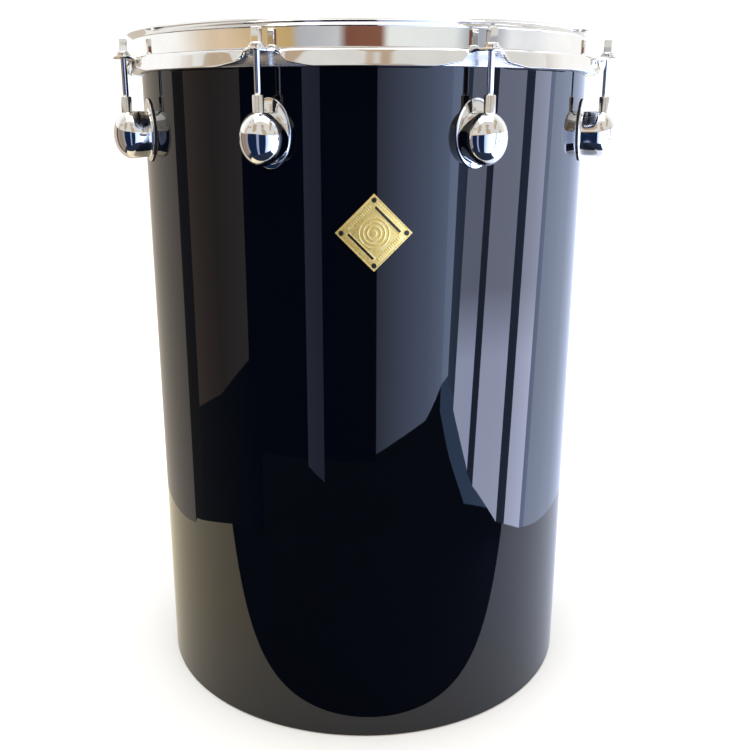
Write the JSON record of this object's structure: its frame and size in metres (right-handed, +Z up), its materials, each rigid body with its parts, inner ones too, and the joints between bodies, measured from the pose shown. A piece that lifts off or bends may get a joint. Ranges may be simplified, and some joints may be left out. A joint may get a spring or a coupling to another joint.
{
  "type": "bass drum",
  "caption": "Tall upright single-headed bass drum: gloss black open-bottomed shell with bubble lugs, chromed stamped counter hoop, tensioned head and a diamond badge.",
  "frame": {"origin": "centre of the shell's bottom edge, on the floor that the drum stands on", "axes": "+Z up along the drum's axis, -Y towards the side with the badge"},
  "size_m": [0.4352, 0.4352, 0.606],
  "materials": {
    "wood": "pale plywood, clear sealed inside",
    "black_wrap": "high gloss black",
    "chrome": "polished chrome plate",
    "nut_steel": "plated steel",
    "steel": "zinc plated",
    "aluminium": "bright rolled strip",
    "head_film": "coated white film",
    "gasket": "black rubber sheet",
    "badge_gold": "satin gold stamped plate",
    "badge_black": "gloss black"
  },
  "bodies": {
    "shell": {"shell": "wood", "shell_wrap": "black_wrap", "lug_gaskets": "gasket", "lug_screws": "steel", "lug_screw_washers": "steel", "badge_plate": "badge_gold", "badge_inlays": "badge_black", "badge_pins": "badge_black", "lug_1": "chrome", "lug_2": "chrome", "lug_3": "chrome", "lug_4": "chrome", "lug_5": "chrome", "lug_6": "chrome", "lug_7": "chrome", "lug_8": "chrome", "swivel_nut_1": "nut_steel", "swivel_nut_2": "nut_steel", "swivel_nut_3": "nut_steel", "swivel_nut_4": "nut_steel", "swivel_nut_5": "nut_steel", "swivel_nut_6": "nut_steel", "swivel_nut_7": "nut_steel", "swivel_nut_8": "nut_steel"},
    "hoop": {"counter_hoop": "chrome", "head_film": "head_film", "head_flesh_hoop": "aluminium", "tension_rod_washers": "steel"},
    "rod_1": {"tension_rod_1": "chrome"},
    "rod_2": {"tension_rod_2": "chrome"},
    "rod_3": {"tension_rod_3": "chrome"},
    "rod_4": {"tension_rod_4": "chrome"},
    "rod_5": {"tension_rod_5": "chrome"},
    "rod_6": {"tension_rod_6": "chrome"},
    "rod_7": {"tension_rod_7": "chrome"},
    "rod_8": {"tension_rod_8": "chrome"}
  },
  "joints": [
    {"name": "hoop_slide", "type": "slide", "parent": "shell", "child": "hoop", "axis": [0, 0, 1], "range_m": [0, 0.012]},
    {"name": "rod_turn_1", "type": "hinge", "parent": "hoop", "child": "rod_1", "pos_m": [0.08503, -0.20529, 0.5865], "axis": [0, 0, 1], "range_deg": [0, 4100]},
    {"name": "rod_turn_2", "type": "hinge", "parent": "hoop", "child": "rod_2", "pos_m": [0.20529, -0.08503, 0.5865], "axis": [0, 0, 1], "range_deg": [0, 4100]},
    {"name": "rod_turn_3", "type": "hinge", "parent": "hoop", "child": "rod_3", "pos_m": [0.20529, 0.08503, 0.5865], "axis": [0, 0, 1], "range_deg": [0, 4100]},
    {"name": "rod_turn_4", "type": "hinge", "parent": "hoop", "child": "rod_4", "pos_m": [0.08503, 0.20529, 0.5865], "axis": [0, 0, 1], "range_deg": [0, 4100]},
    {"name": "rod_turn_5", "type": "hinge", "parent": "hoop", "child": "rod_5", "pos_m": [-0.08503, 0.20529, 0.5865], "axis": [0, 0, 1], "range_deg": [0, 4100]},
    {"name": "rod_turn_6", "type": "hinge", "parent": "hoop", "child": "rod_6", "pos_m": [-0.20529, 0.08503, 0.5865], "axis": [0, 0, 1], "range_deg": [0, 4100]},
    {"name": "rod_turn_7", "type": "hinge", "parent": "hoop", "child": "rod_7", "pos_m": [-0.20529, -0.08503, 0.5865], "axis": [0, 0, 1], "range_deg": [0, 4100]},
    {"name": "rod_turn_8", "type": "hinge", "parent": "hoop", "child": "rod_8", "pos_m": [-0.08503, -0.20529, 0.5865], "axis": [0, 0, 1], "range_deg": [0, 4100]}
  ],
  "couplings": [
    {"joint": "rod_turn_1", "follows": "hoop_slide", "rad_per_m": 5936.9},
    {"joint": "rod_turn_2", "follows": "hoop_slide", "rad_per_m": 5936.9},
    {"joint": "rod_turn_3", "follows": "hoop_slide", "rad_per_m": 5936.9},
    {"joint": "rod_turn_4", "follows": "hoop_slide", "rad_per_m": 5936.9},
    {"joint": "rod_turn_5", "follows": "hoop_slide", "rad_per_m": 5936.9},
    {"joint": "rod_turn_6", "follows": "hoop_slide", "rad_per_m": 5936.9},
    {"joint": "rod_turn_7", "follows": "hoop_slide", "rad_per_m": 5936.9},
    {"joint": "rod_turn_8", "follows": "hoop_slide", "rad_per_m": 5936.9}
  ]
}
